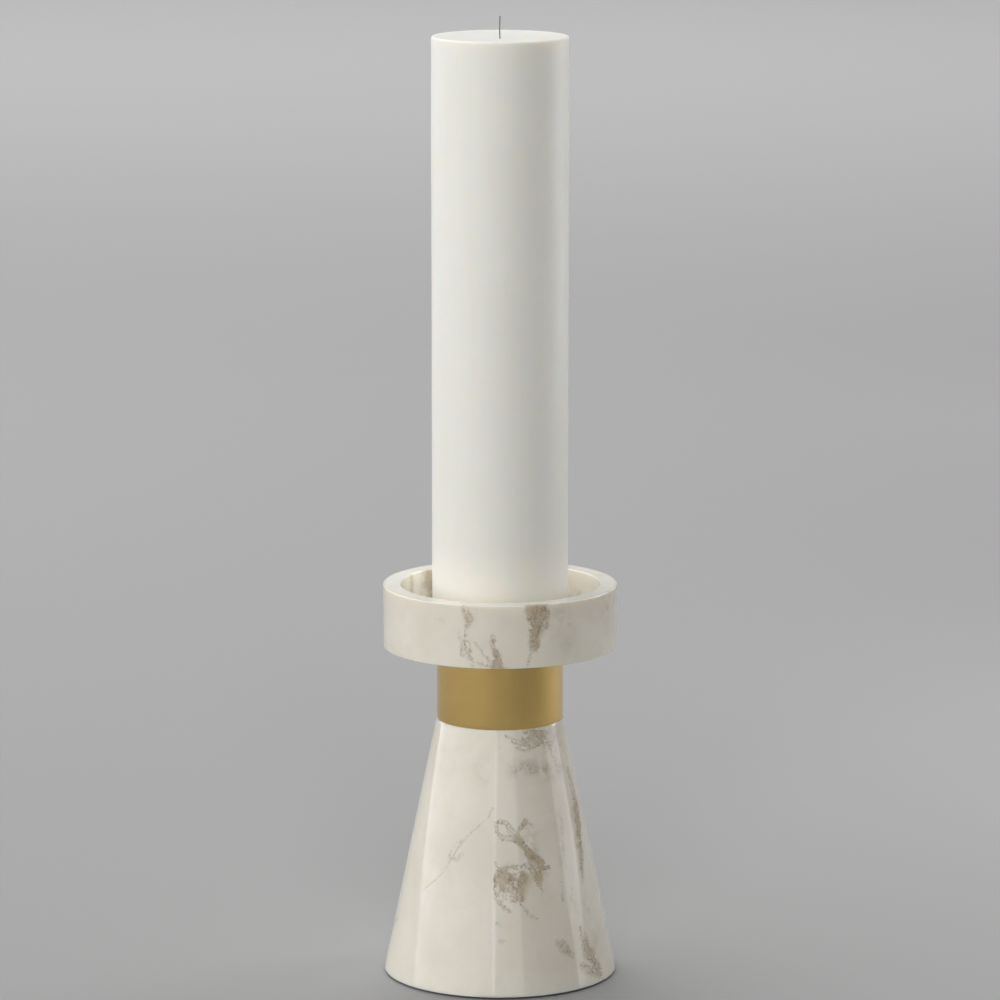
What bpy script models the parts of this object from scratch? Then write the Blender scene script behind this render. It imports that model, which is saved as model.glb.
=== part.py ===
"""Stone and brass candlestick with a pillar candle, modelled piece by piece in metres, +Z up.

A turned stone base and a turned stone dish meet inside a brass collar, which centres them both.
A steel stud, screwed into a brass insert in the dish, is pulled down by a nut in the base's counterbore,
and a felt disc closes that counterbore. The candle stands loose in the dish and lifts straight out.
"""

import math

import bmesh
import bpy
from mathutils import Matrix, Vector

MM = 0.001

# Gaps between neighbours
SEAT_GAP = 0.3 * MM  # bedding or glue line between stacked faces
REGISTER_CLEARANCE = 0.3 * MM  # stone spigot and neck in the collar, insert in the dish
STUD_CLEARANCE = 1.0 * MM  # stud in the hole down the base
WASHER_CLEARANCE = 0.4 * MM  # washers on the stud
COUNTERBORE_CLEARANCE = 3.0 * MM  # room for a socket spanner round the widest washer
WICK_CLEARANCE = 0.3 * MM

# Felt foot
FELT_THICKNESS = 0.9 * MM
FELT_INSET = 4.0 * MM

# Stone base: a cone with a neck that fills the lower part of the collar
BASE_DIAMETER = 120.5 * MM  # across its rounded lower edge, and across the dish, which is flush with it
BASE_HEIGHT = 133.6 * MM  # from its underside to the shoulder under the collar
BASE_SHOULDER = 0.3 * MM  # how far the shoulder stands out past the collar
COUNTERBORE_ROOM = 7.0 * MM  # empty height left below the stud in the counterbore

# Brass collar
COLLAR_DIAMETER = 65.2 * MM
COLLAR_WALL = 2.5 * MM
COLLAR_HEIGHT = 37.8 * MM

# Stone dish
DISH_WALL = 9.0 * MM
DISH_DEPTH = 18.2 * MM
DISH_FLOOR = 14.1 * MM
INSERT_ROOF = 2.0 * MM  # stone left above the insert inside the dish's spigot

# Metric stud, its thread, and the insert and nut that take it
THREAD_DIAMETER = 8.0 * MM
THREAD_PITCH = 1.25 * MM
THREAD_DEPTH = 0.7 * MM
THREAD_CLEARANCE = 0.3 * MM
ROOT_FLAT = 1 / 4  # shares of the pitch
CREST_FLAT = 1 / 8
STUD_ENGAGEMENT = 10.0 * MM  # how far the stud screws into the insert
STUD_PROTRUSION = 3.4 * MM  # past the nut
STUD_RUNOUT = 3.0 * MM  # thread past the insert's mouth and past the counterbore's ceiling
INSERT_SPARE = 2.0 * MM  # tapped length beyond the stud's end
INSERT_WALL = 2.6 * MM
KNURL_DEPTH = 0.4 * MM
NUT_WALL = 2.5 * MM  # from the thread's outside to a flat
NUT_HEIGHT = 6.5 * MM
NUT_CHAMFER_ANGLE = math.radians(30)

# Washers under the base's ceiling, from the stone down to the nut
FLAT_WASHER_WIDTH = 7.6 * MM  # from its hole to its rim
FLAT_WASHER_THICKNESS = 1.6 * MM
RUBBER_WASHER_LIP = 1.0 * MM  # rubber showing round the flat washer
RUBBER_WASHER_THICKNESS = 2.0 * MM
SPRING_WASHER_WIDTH = 3.0 * MM
SPRING_WASHER_THICKNESS = 1.8 * MM
SPRING_WASHER_LIFT = 0.3 * MM  # how far its cut ends stand apart in height
SPRING_WASHER_SWEEP = math.radians(340)

# Pillar candle and wick
CANDLE_DIAMETER = 70.0 * MM
CANDLE_LENGTH = 300.0 * MM
WICK_DIAMETER = 0.7 * MM
WICK_FREE_LENGTH = 11.5 * MM
WICK_BEND = 0.25 * MM  # sideways lean just above the wax
WICK_START = 1.0 * MM  # above the candle's underside

# Rounded edges
STONE_EDGE = 0.8 * MM
STONE_INNER_CORNER = 1.5 * MM
BRASS_EDGE = 0.4 * MM
WAX_TOP_EDGE = 1.8 * MM
WAX_BOTTOM_EDGE = 1.0 * MM
HARDWARE_EDGE = 0.3 * MM

# Facets, and how far a cutter reaches past what it cuts
LARGE_STEPS = 64
SMALL_STEPS = 36
ARC_STEPS = 3
THREAD_COLUMNS = 12
KNURL_TEETH = 18
WICK_HOLE_SIDES = 12
WICK_RESOLUTION = 2
WICK_BEND_STEPS = 8
SMOOTH_ANGLE = math.radians(35)
MERGE_DISTANCE = 0.001 * MM
CUTTER_OVERSHOOT = 5.0 * MM

# Heights that follow from the sizes above, up the stand and then up the counterbore
BASE_BOTTOM = FELT_THICKNESS + SEAT_GAP
COLLAR_BOTTOM = BASE_BOTTOM + BASE_HEIGHT + SEAT_GAP
DISH_BOTTOM = COLLAR_BOTTOM + COLLAR_HEIGHT + SEAT_GAP
CANDLE_BOTTOM = DISH_BOTTOM + DISH_FLOOR + SEAT_GAP
INSERT_LENGTH = STUD_ENGAGEMENT + INSERT_SPARE
SPIGOT_LENGTH = INSERT_LENGTH + SEAT_GAP + INSERT_ROOF
INSERT_BOTTOM = DISH_BOTTOM - SPIGOT_LENGTH
NECK_TOP = INSERT_BOTTOM - SEAT_GAP
STUD_BOTTOM = BASE_BOTTOM + COUNTERBORE_ROOM
STUD_TOP = INSERT_BOTTOM + STUD_ENGAGEMENT
NUT_BOTTOM = STUD_BOTTOM + STUD_PROTRUSION
SPRING_WASHER_BOTTOM = NUT_BOTTOM + NUT_HEIGHT + SEAT_GAP
FLAT_WASHER_BOTTOM = (
    SPRING_WASHER_BOTTOM + SPRING_WASHER_THICKNESS + SPRING_WASHER_LIFT + SEAT_GAP
)
RUBBER_WASHER_BOTTOM = FLAT_WASHER_BOTTOM + FLAT_WASHER_THICKNESS + SEAT_GAP
COUNTERBORE_CEILING = RUBBER_WASHER_BOTTOM + RUBBER_WASHER_THICKNESS + SEAT_GAP
LOWER_THREAD = (STUD_BOTTOM, COUNTERBORE_CEILING + STUD_RUNOUT)
UPPER_THREAD = (INSERT_BOTTOM - STUD_RUNOUT, STUD_TOP)

# Radii that follow
BASE_RADIUS = BASE_DIAMETER / 2
DISH_RADIUS = BASE_RADIUS
DISH_BORE_RADIUS = DISH_RADIUS - DISH_WALL
COLLAR_RADIUS = COLLAR_DIAMETER / 2
COLLAR_BORE_RADIUS = COLLAR_RADIUS - COLLAR_WALL
REGISTER_RADIUS = COLLAR_BORE_RADIUS - REGISTER_CLEARANCE
THREAD_RADIUS = THREAD_DIAMETER / 2
TAPPED_RADIUS = THREAD_RADIUS + THREAD_CLEARANCE
INSERT_RADIUS = TAPPED_RADIUS + INSERT_WALL
INSERT_HOLE_RADIUS = INSERT_RADIUS + REGISTER_CLEARANCE
STUD_HOLE_RADIUS = THREAD_RADIUS + STUD_CLEARANCE
WASHER_HOLE_RADIUS = THREAD_RADIUS + WASHER_CLEARANCE
FLAT_WASHER_RADIUS = WASHER_HOLE_RADIUS + FLAT_WASHER_WIDTH
RUBBER_WASHER_RADIUS = FLAT_WASHER_RADIUS + RUBBER_WASHER_LIP
COUNTERBORE_RADIUS = RUBBER_WASHER_RADIUS + COUNTERBORE_CLEARANCE
CANDLE_RADIUS = CANDLE_DIAMETER / 2
WICK_RADIUS = WICK_DIAMETER / 2


def clear_scene():
    for obj in list(bpy.data.objects):
        bpy.data.objects.remove(obj)


def material(name, colour, roughness, metallic=0.0):
    made = bpy.data.materials.new(name)
    made.use_nodes = True
    shader = made.node_tree.nodes["Principled BSDF"]
    shader.inputs["Base Color"].default_value = (*colour, 1.0)
    shader.inputs["Roughness"].default_value = roughness
    shader.inputs["Metallic"].default_value = metallic
    return made


def empty(name, height):
    made = bpy.data.objects.new(name, None)
    made.location.z = height
    bpy.context.scene.collection.objects.link(made)
    return made


def object_from(bm, name, parent, height, finish=None):
    """The bmesh as an object on the axis, at a world height. With no finish it is a hidden cutter."""
    bmesh.ops.recalc_face_normals(bm, faces=bm.faces)
    mesh = bpy.data.meshes.new(name)
    bm.to_mesh(mesh)
    bm.free()
    mesh.shade_smooth()
    mesh.set_sharp_from_angle(angle=SMOOTH_ANGLE)
    made = bpy.data.objects.new(name, mesh)
    made.parent = parent
    made.location.z = height - parent.location.z
    bpy.context.scene.collection.objects.link(made)
    if finish:
        mesh.materials.append(finish)
    else:
        made.hide_render = True
        made.display_type = "WIRE"
    return made


def boolean(target, operation, tool):
    modifier = target.modifiers.new(tool.name, "BOOLEAN")
    modifier.operation = operation
    modifier.object = tool


def rounded(corners, closed):
    """Profile points (radius, height) through corners (radius, height, rounding), with tangent arcs."""
    points = []
    for index, (radius, height, rounding) in enumerate(corners):
        corner = Vector((radius, height))
        at_end = not closed and index in (0, len(corners) - 1)
        if at_end or not rounding:
            points.append(corner)
            continue
        before = (Vector(corners[index - 1][:2]) - corner).normalized()
        after = (Vector(corners[(index + 1) % len(corners)][:2]) - corner).normalized()
        half_angle = before.angle(after) / 2
        centre = corner + (before + after).normalized() * (rounding / math.sin(half_angle))
        tangent = rounding / math.tan(half_angle)
        start = corner + before * tangent - centre
        swing = start.angle_signed(corner + after * tangent - centre)
        for step in range(ARC_STEPS + 1):
            turn = Matrix.Rotation(-swing * step / ARC_STEPS, 2)
            points.append(centre + turn @ start)
    return points


def turned(corners, steps, closed=True):
    """A bmesh turned about Z from profile corners. An open profile starts and ends on the axis."""
    bm = bmesh.new()
    verts = [bm.verts.new((point.x, 0, point.y)) for point in rounded(corners, closed)]
    pairs = zip(verts, verts[1:] + verts[:1]) if closed else zip(verts, verts[1:])
    edges = [bm.edges.new(pair) for pair in pairs]
    bmesh.ops.spin(
        bm,
        geom=verts + edges,
        axis=(0, 0, 1),
        cent=(0, 0, 0),
        angle=math.tau,
        steps=steps,
        use_merge=True,
    )
    bmesh.ops.remove_doubles(bm, verts=bm.verts, dist=MERGE_DISTANCE)
    return bm


def flat_ring(inner, outer, height):
    """A flat washer, standing on its own zero height."""
    corners = [(outer, height, 0), (outer, 0, 0), (inner, 0, 0), (inner, height, 0)]
    return turned(corners, SMALL_STEPS)


def threaded(radius, low, high):
    """A rod with a right-hand thread from low to high, closed at each end by a tapered lead and a disc.

    Four rows follow the helix for each turn: the two edges of the root and the two edges of the crest.
    A turn ends on the row one pitch above its start, and the first and last rows end in a square step.
    """
    root = radius - THREAD_DEPTH
    flank = (1 - ROOT_FLAT - CREST_FLAT) / 2
    crest = ROOT_FLAT + flank
    rows_in_turn = (
        (0, root),
        (ROOT_FLAT, root),
        (crest, radius),
        (crest + CREST_FLAT, radius),
    )
    turns = int((high - low) / THREAD_PITCH) - 2  # the leads and the last step take the rest
    rows = len(rows_in_turn)
    last = rows * turns
    start = low + THREAD_PITCH / 2
    bm = bmesh.new()

    def vertex(at_radius, angle, height):
        return bm.verts.new((at_radius * math.cos(angle), at_radius * math.sin(angle), height))

    angles = [math.tau * column / THREAD_COLUMNS for column in range(THREAD_COLUMNS)]
    grid = {}
    for column, angle in enumerate(angles):
        for row in range(last + 1 + (rows if column == 0 else 0)):
            share, at_radius = rows_in_turn[row % rows]
            pitches = row // rows + share + column / THREAD_COLUMNS
            grid[row, column] = vertex(at_radius, angle, start + pitches * THREAD_PITCH)
    for row in range(last + 1):
        grid[row, THREAD_COLUMNS] = grid[row + rows, 0]

    lead = root - HARDWARE_EDGE
    ends = [[vertex(lead, angle, height) for angle in angles] for height in (low, high)]
    for end, row in zip(ends, (0, last)):
        for column in range(THREAD_COLUMNS):
            beside = (column + 1) % THREAD_COLUMNS
            bm.faces.new((end[column], end[beside], grid[row, column + 1], grid[row, column]))
        bm.faces.new([end[0]] + [grid[row + step, 0] for step in range(rows + 1)])
        bm.faces.new(end)
    for row in range(last):
        for column in range(THREAD_COLUMNS):
            bm.faces.new(
                (
                    grid[row, column],
                    grid[row, column + 1],
                    grid[row + 1, column + 1],
                    grid[row + 1, column],
                )
            )
    return bm


def felt_pad(parent, finish):
    radius = BASE_RADIUS - FELT_INSET
    corners = [(0, FELT_THICKNESS, 0), (radius, FELT_THICKNESS, 0), (radius, 0, 0), (0, 0, 0)]
    object_from(turned(corners, LARGE_STEPS, closed=False), "felt_pad", parent, 0, finish)


def marble_base(parent, finish):
    """The cone, with its neck above the shoulder and the stud's hole and counterbore up its middle.

    Its sharp foot corner lies outside BASE_RADIUS by what the rounded edge takes off.
    """
    shoulder_radius = COLLAR_RADIUS + BASE_SHOULDER
    flare = math.atan2(BASE_HEIGHT, BASE_RADIUS - shoulder_radius)
    foot_corner = BASE_RADIUS + STONE_EDGE * (1 / math.tan(flare / 2) - 1)
    neck_top = NECK_TOP - BASE_BOTTOM
    ceiling = COUNTERBORE_CEILING - BASE_BOTTOM
    corners = [
        (REGISTER_RADIUS, neck_top, STONE_EDGE),
        (REGISTER_RADIUS, BASE_HEIGHT, 0),
        (shoulder_radius, BASE_HEIGHT, BASE_SHOULDER / 2),
        (foot_corner, 0, STONE_EDGE),
        (COUNTERBORE_RADIUS, 0, 0),
        (COUNTERBORE_RADIUS, ceiling, 0),
        (STUD_HOLE_RADIUS, ceiling, 0),
        (STUD_HOLE_RADIUS, neck_top, 0),
    ]
    object_from(turned(corners, LARGE_STEPS), "marble_base", parent, BASE_BOTTOM, finish)


def brass_collar(parent, finish):
    corners = [
        (COLLAR_RADIUS, COLLAR_HEIGHT, BRASS_EDGE),
        (COLLAR_RADIUS, 0, BRASS_EDGE),
        (COLLAR_BORE_RADIUS, 0, 0),
        (COLLAR_BORE_RADIUS, COLLAR_HEIGHT, 0),
    ]
    object_from(turned(corners, LARGE_STEPS), "brass_collar", parent, COLLAR_BOTTOM, finish)


def marble_dish(parent, finish):
    """The dish, with the spigot that fills the collar's upper part and the blind hole for the insert."""
    rim = DISH_FLOOR + DISH_DEPTH
    hole_top = INSERT_LENGTH + SEAT_GAP - SPIGOT_LENGTH
    corners = [
        (0, DISH_FLOOR, 0),
        (DISH_BORE_RADIUS, DISH_FLOOR, STONE_INNER_CORNER),
        (DISH_BORE_RADIUS, rim, STONE_EDGE),
        (DISH_RADIUS, rim, STONE_EDGE),
        (DISH_RADIUS, 0, STONE_EDGE),
        (REGISTER_RADIUS, 0, 0),
        (REGISTER_RADIUS, -SPIGOT_LENGTH, STONE_EDGE),
        (INSERT_HOLE_RADIUS, -SPIGOT_LENGTH, 0),
        (INSERT_HOLE_RADIUS, hole_top, 0),
        (0, hole_top, 0),
    ]
    bm = turned(corners, LARGE_STEPS, closed=False)
    object_from(bm, "marble_dish", parent, DISH_BOTTOM, finish)


def threaded_insert(parent, finish):
    """A knurled bush, tapped right through, glued into the dish's blind hole."""
    bm = bmesh.new()
    points = 2 * KNURL_TEETH
    outline = []
    for point in range(points):
        angle = math.tau * point / points
        radius = INSERT_RADIUS - KNURL_DEPTH * (point % 2)
        outline.append(bm.verts.new((radius * math.cos(angle), radius * math.sin(angle), 0)))
    lower = bm.faces.new(outline)
    raised = bmesh.ops.extrude_face_region(bm, geom=[lower], use_keep_orig=True)["geom"]
    bmesh.ops.translate(
        bm,
        verts=[item for item in raised if isinstance(item, bmesh.types.BMVert)],
        vec=(0, 0, INSERT_LENGTH),
    )
    insert = object_from(bm, "threaded_insert", parent, INSERT_BOTTOM, finish)
    low = UPPER_THREAD[0]
    high = INSERT_BOTTOM + INSERT_LENGTH + CUTTER_OVERSHOOT
    tap = object_from(threaded(TAPPED_RADIUS, low, high), "insert_tap", parent, 0)
    boolean(insert, "DIFFERENCE", tap)


def tie_stud(parent, finish):
    """A double-ended stud: two threaded ends on a shank of the thread's mean diameter."""
    shank_radius = THREAD_RADIUS - THREAD_DEPTH / 2
    low = LOWER_THREAD[1] - THREAD_PITCH
    high = UPPER_THREAD[0] + THREAD_PITCH
    corners = [(0, high - low, 0), (shank_radius, high - low, 0), (shank_radius, 0, 0), (0, 0, 0)]
    bm = turned(corners, SMALL_STEPS, closed=False)
    stud = object_from(bm, "tie_stud", parent, low, finish)
    for name, span in (("lower_thread", LOWER_THREAD), ("upper_thread", UPPER_THREAD)):
        boolean(stud, "UNION", object_from(threaded(THREAD_RADIUS, *span), name, parent, 0))


def clamp_nut(parent, finish):
    """A hexagon nut with both faces chamfered at its corners, tapped to run on the stud's lower thread."""
    flat_radius = THREAD_RADIUS + NUT_WALL
    corner_radius = flat_radius / math.cos(math.pi / 6)
    bm = bmesh.new()
    bmesh.ops.create_cone(
        bm,
        cap_ends=True,
        segments=6,
        radius1=corner_radius,
        radius2=corner_radius,
        depth=NUT_HEIGHT,
        matrix=Matrix.Translation((0, 0, NUT_HEIGHT / 2)),
    )
    nut = object_from(bm, "clamp_nut", parent, NUT_BOTTOM, finish)
    outer = corner_radius + HARDWARE_EDGE
    drop = (outer - flat_radius) * math.tan(NUT_CHAMFER_ANGLE)
    corners = [
        (0, NUT_HEIGHT, 0),
        (flat_radius, NUT_HEIGHT, 0),
        (outer, NUT_HEIGHT - drop, 0),
        (outer, drop, 0),
        (flat_radius, 0, 0),
        (0, 0, 0),
    ]
    bm = turned(corners, SMALL_STEPS, closed=False)
    boolean(nut, "INTERSECT", object_from(bm, "nut_chamfer", parent, NUT_BOTTOM))
    tap = object_from(threaded(TAPPED_RADIUS, *LOWER_THREAD), "nut_tap", parent, 0)
    boolean(nut, "DIFFERENCE", tap)


def washers(parent, rubber, steel):
    """Rubber against the stone, a flat steel washer under it, and a split spring washer on the nut."""
    bm = flat_ring(WASHER_HOLE_RADIUS, RUBBER_WASHER_RADIUS, RUBBER_WASHER_THICKNESS)
    object_from(bm, "rubber_washer", parent, RUBBER_WASHER_BOTTOM, rubber)
    bm = flat_ring(WASHER_HOLE_RADIUS, FLAT_WASHER_RADIUS, FLAT_WASHER_THICKNESS)
    object_from(bm, "flat_washer", parent, FLAT_WASHER_BOTTOM, steel)
    bm = bmesh.new()
    inner = WASHER_HOLE_RADIUS
    outer = WASHER_HOLE_RADIUS + SPRING_WASHER_WIDTH
    section = [(inner, 0), (outer, 0), (outer, 1), (inner, 1)]
    verts = [bm.verts.new((radius, 0, top * SPRING_WASHER_THICKNESS)) for radius, top in section]
    face = bm.faces.new(verts)
    bmesh.ops.spin(
        bm,
        geom=[face],
        axis=(0, 0, 1),
        cent=(0, 0, 0),
        dvec=(0, 0, SPRING_WASHER_LIFT / SMALL_STEPS),
        angle=SPRING_WASHER_SWEEP,
        steps=SMALL_STEPS,
    )
    object_from(bm, "spring_washer", parent, SPRING_WASHER_BOTTOM, steel)


def wax_candle(parent, finish):
    """The pillar, with the narrow hole that its wick was cast or threaded through."""
    corners = [
        (0, CANDLE_LENGTH, 0),
        (CANDLE_RADIUS, CANDLE_LENGTH, WAX_TOP_EDGE),
        (CANDLE_RADIUS, 0, WAX_BOTTOM_EDGE),
        (0, 0, 0),
    ]
    bm = turned(corners, LARGE_STEPS, closed=False)
    candle = object_from(bm, "wax_candle", parent, CANDLE_BOTTOM, finish)
    bm = bmesh.new()
    bmesh.ops.create_cone(
        bm,
        cap_ends=True,
        segments=WICK_HOLE_SIDES,
        radius1=WICK_RADIUS + WICK_CLEARANCE,
        radius2=WICK_RADIUS + WICK_CLEARANCE,
        depth=CANDLE_LENGTH + 2 * CUTTER_OVERSHOOT,
        matrix=Matrix.Translation((0, 0, CANDLE_LENGTH / 2)),
    )
    boolean(candle, "DIFFERENCE", object_from(bm, "wick_hole", parent, CANDLE_BOTTOM))


def candle_wick(parent, finish):
    """A thin cord that runs the candle's length and stands out of its top, leaning a little at the root."""
    curve = bpy.data.curves.new("candle_wick", "CURVE")
    curve.dimensions = "3D"
    curve.bevel_depth = WICK_RADIUS
    curve.bevel_resolution = WICK_RESOLUTION
    curve.use_fill_caps = True
    curve.materials.append(finish)
    route = [(0, WICK_START)]
    for step in range(WICK_BEND_STEPS + 1):
        share = step / WICK_BEND_STEPS
        lean = -WICK_BEND * math.sin(math.pi * share) * math.cos(math.pi * share / 2)
        route.append((lean, CANDLE_LENGTH + WICK_FREE_LENGTH * share))
    spline = curve.splines.new("POLY")
    spline.points.add(len(route) - 1)
    for point, (sideways, height) in zip(spline.points, route):
        point.co = (sideways, 0, height, 1)
    wick = bpy.data.objects.new("candle_wick", curve)
    wick.parent = parent
    wick.location.z = CANDLE_BOTTOM - parent.location.z
    bpy.context.scene.collection.objects.link(wick)


def main():
    clear_scene()
    stand = empty("stand", 0)
    candle = empty("candle", CANDLE_BOTTOM)
    marble = material("marble", (0.74, 0.70, 0.62), 0.25)
    brass = material("brass", (0.62, 0.45, 0.16), 0.35, 1.0)
    insert_brass = material("insert_brass", (0.66, 0.50, 0.22), 0.45, 1.0)
    steel = material("zinc_steel", (0.55, 0.56, 0.58), 0.4, 1.0)
    rubber = material("rubber", (0.03, 0.03, 0.03), 0.8)
    felt = material("felt", (0.10, 0.10, 0.10), 0.95)
    wax = material("wax", (0.80, 0.78, 0.70), 0.45)
    cotton = material("wick_cotton", (0.16, 0.16, 0.16), 0.9)
    felt_pad(stand, felt)
    marble_base(stand, marble)
    brass_collar(stand, brass)
    marble_dish(stand, marble)
    threaded_insert(stand, insert_brass)
    tie_stud(stand, steel)
    washers(stand, rubber, steel)
    clamp_nut(stand, steel)
    wax_candle(candle, wax)
    candle_wick(candle, cotton)


main()
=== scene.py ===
import math

import bpy
import numpy as np
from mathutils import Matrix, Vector


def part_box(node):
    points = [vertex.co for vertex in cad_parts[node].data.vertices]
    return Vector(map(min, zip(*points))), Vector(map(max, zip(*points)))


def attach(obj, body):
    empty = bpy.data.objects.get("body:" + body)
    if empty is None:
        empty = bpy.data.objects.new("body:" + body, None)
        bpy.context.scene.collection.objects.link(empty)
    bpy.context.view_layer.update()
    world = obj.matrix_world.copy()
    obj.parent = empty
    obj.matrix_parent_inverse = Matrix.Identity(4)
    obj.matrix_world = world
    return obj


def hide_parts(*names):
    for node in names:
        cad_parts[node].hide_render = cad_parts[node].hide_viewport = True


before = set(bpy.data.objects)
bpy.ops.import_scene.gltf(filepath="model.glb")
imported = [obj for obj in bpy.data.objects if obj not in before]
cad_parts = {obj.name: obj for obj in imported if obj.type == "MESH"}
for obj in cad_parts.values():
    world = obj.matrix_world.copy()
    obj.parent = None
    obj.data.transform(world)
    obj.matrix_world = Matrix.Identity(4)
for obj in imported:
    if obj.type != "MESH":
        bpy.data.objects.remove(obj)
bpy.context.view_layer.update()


# Felt foot: a punched disc of pressed wool felt, glued under the stone over the counterbore.
# Its cut edge is a little soft and uneven, and its nap shows as short crossed fibres.

MM = 0.001
ARC_POINTS = 9
CREASE_ANGLE = math.radians(40)
FELT_EDGE = 0.2 * MM


def outline(corners, step, closed=False):
    """Points (radius, height) along the straight stretches and tangent arcs of a turned outline.

    A corner is (radius, height, rounding). At a rounded corner the arc has its centre on the bisector,
    at rounding over the sine of half the angle.
    Straight stretches are cut into even lengths of about step.
    """
    corners = np.array(corners, float)
    count = len(corners)
    bends = []
    for index, (*corner, rounding) in enumerate(corners):
        corner = np.array(corner)
        if rounding == 0 or (not closed and index in (0, count - 1)):
            bends.append(corner[None])
            continue
        before = corners[index - 1, :2] - corner
        after = corners[(index + 1) % count, :2] - corner
        before /= np.linalg.norm(before)
        after /= np.linalg.norm(after)
        half = math.acos(np.clip(before @ after, -1, 1)) / 2
        centre = corner + (before + after) / np.linalg.norm(before + after) * rounding / math.sin(half)
        first = corner + before * rounding / math.tan(half) - centre
        last = corner + after * rounding / math.tan(half) - centre
        share = np.linspace(0, 1, ARC_POINTS)[:, None]
        sweep = math.pi - 2 * half
        arc = (np.sin((1 - share) * sweep) * first + np.sin(share * sweep) * last) / math.sin(sweep)
        bends.append(centre + arc)
    points = []
    for index in range(count if closed else count - 1):
        start = bends[index][-1]
        end = bends[(index + 1) % count][0]
        cuts = max(int(np.linalg.norm(end - start) / step), 1)
        share = np.linspace(0, 1, cuts + 1)[1:-1, None]
        points += [bends[index], start + (end - start) * share]
    if not closed:
        points.append(bends[-1])
    return np.concatenate(points)


def piece_from(name, points, faces):
    """A smooth object of this name from points and faces."""
    mesh = bpy.data.meshes.new(name)
    mesh.from_pydata(points.tolist(), [], faces)
    mesh.shade_smooth()
    piece = bpy.data.objects.new(name, mesh)
    bpy.context.scene.collection.objects.link(piece)
    return piece


def turned_mesh(name, profile, sides, ripple=None, closed=False):
    """A piece turned about Z: each profile row (r, z) gives points (r cos a, r sin a, z) at even angles a.

    ripple(angle, radius, height) gives a small change of radius. An open profile ends in a pole on the axis.
    """
    angle = np.linspace(0, math.tau, sides, endpoint=False)[None, :]
    rows = profile if closed else profile[1:-1]
    radius, height = rows[:, :1], rows[:, 1:]
    if ripple:
        radius = radius + ripple(angle, radius, height)
    radius, height, angle = np.broadcast_arrays(radius, height, angle)
    grid = np.stack([radius * np.cos(angle), radius * np.sin(angle), height], axis=-1).reshape(-1, 3)
    index = np.arange(len(rows) * sides).reshape(-1, sides)
    if closed:
        index = np.concatenate([index, index[:1]])
    beside = np.roll(index, -1, axis=1)
    quads = np.stack([index[:-1], index[1:], beside[1:], beside[:-1]], axis=-1).reshape(-1, 4)
    faces = quads.tolist()
    if not closed:
        top, bottom = len(grid), len(grid) + 1
        grid = np.concatenate([grid, [[0, 0, profile[0, 1]], [0, 0, profile[-1, 1]]]])
        faces += np.stack([np.full(sides, top), index[0], beside[0]], axis=-1).tolist()
        faces += np.stack([index[-1], np.full(sides, bottom), beside[-1]], axis=-1).tolist()
    piece = piece_from(name, grid, faces)
    piece.data.set_sharp_from_angle(angle=CREASE_ANGLE)
    return piece


def node_material(name):
    """A new node material, given with its node tree and its Principled BSDF."""
    made = bpy.data.materials.new(name)
    made.use_nodes = True
    tree = made.node_tree
    return made, tree, tree.nodes["Principled BSDF"]


def dress(tree, shader, colour, roughness, normal):
    """Links a finish's colour, roughness and normal into its Principled BSDF."""
    for name, socket in (("Base Color", colour), ("Roughness", roughness), ("Normal", normal)):
        tree.links.new(socket, shader.inputs[name])


def add(tree, kind, values=None, **settings):
    """Adds a node of this kind with its settings, then sets or links its inputs by name or number."""
    node = tree.nodes.new(kind)
    for key, value in settings.items():
        setattr(node, key, value)
    for key, value in (values or {}).items():
        if isinstance(value, bpy.types.NodeSocket):
            tree.links.new(value, node.inputs[key])
        else:
            node.inputs[key].default_value = value
    return node


def object_coordinates(tree, stretch=(1, 1, 1)):
    """Object coordinates in metres, stretched by a Mapping node."""
    place = add(tree, "ShaderNodeTexCoord").outputs["Object"]
    return add(tree, "ShaderNodeMapping", {"Vector": place, "Scale": stretch}).outputs["Vector"]


def noise(tree, vector, scale, detail=4.0, roughness=0.5, distortion=0.0):
    """A noise value from 0 to 1, with scale cells to the metre of the vector."""
    values = {"Vector": vector, "Scale": scale, "Detail": detail, "Roughness": roughness}
    return add(tree, "ShaderNodeTexNoise", {**values, "Distortion": distortion}).outputs["Fac"]


def math_node(tree, operation, first, second=0.0, third=0.0):
    """One operation on up to three values, such as first times second plus third for MULTIPLY_ADD."""
    values = {0: first, 1: second, 2: third}
    return add(tree, "ShaderNodeMath", values, operation=operation).outputs[0]


def ramp(tree, value, low, high, out_low=0.0, out_high=1.0):
    """A smooth step of the value from low to high, given out between out_low and out_high."""
    values = {"Value": value, "From Min": low, "From Max": high, "To Min": out_low, "To Max": out_high}
    return add(tree, "ShaderNodeMapRange", values, interpolation_type="SMOOTHSTEP").outputs["Result"]


def mix(tree, share, first, second):
    """A colour between first and second: (1 - share) of the first plus share of the second."""
    node = add(tree, "ShaderNodeMix", data_type="RGBA")
    inputs = {socket.name: socket for socket in node.inputs if socket.enabled}
    for name, value in (("Factor", share), ("A", first), ("B", second)):
        if isinstance(value, bpy.types.NodeSocket):
            tree.links.new(value, inputs[name])
        else:
            inputs[name].default_value = value
    return next(socket for socket in node.outputs if socket.enabled)


def bump(tree, height, distance, strength=1.0):
    """A normal tilted as if the surface stood out by height times distance."""
    values = {"Height": height, "Distance": distance, "Strength": strength}
    return add(tree, "ShaderNodeBump", values).outputs["Normal"]


def linear(red, green, blue):
    """A linear colour from the 0 to 255 values that a picture shows, by the sRGB curve."""
    shares = np.array([red, green, blue]) / 255
    return (*np.where(shares > 0.04045, ((shares + 0.055) / 1.055) ** 2.4, shares / 12.92), 1.0)


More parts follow.
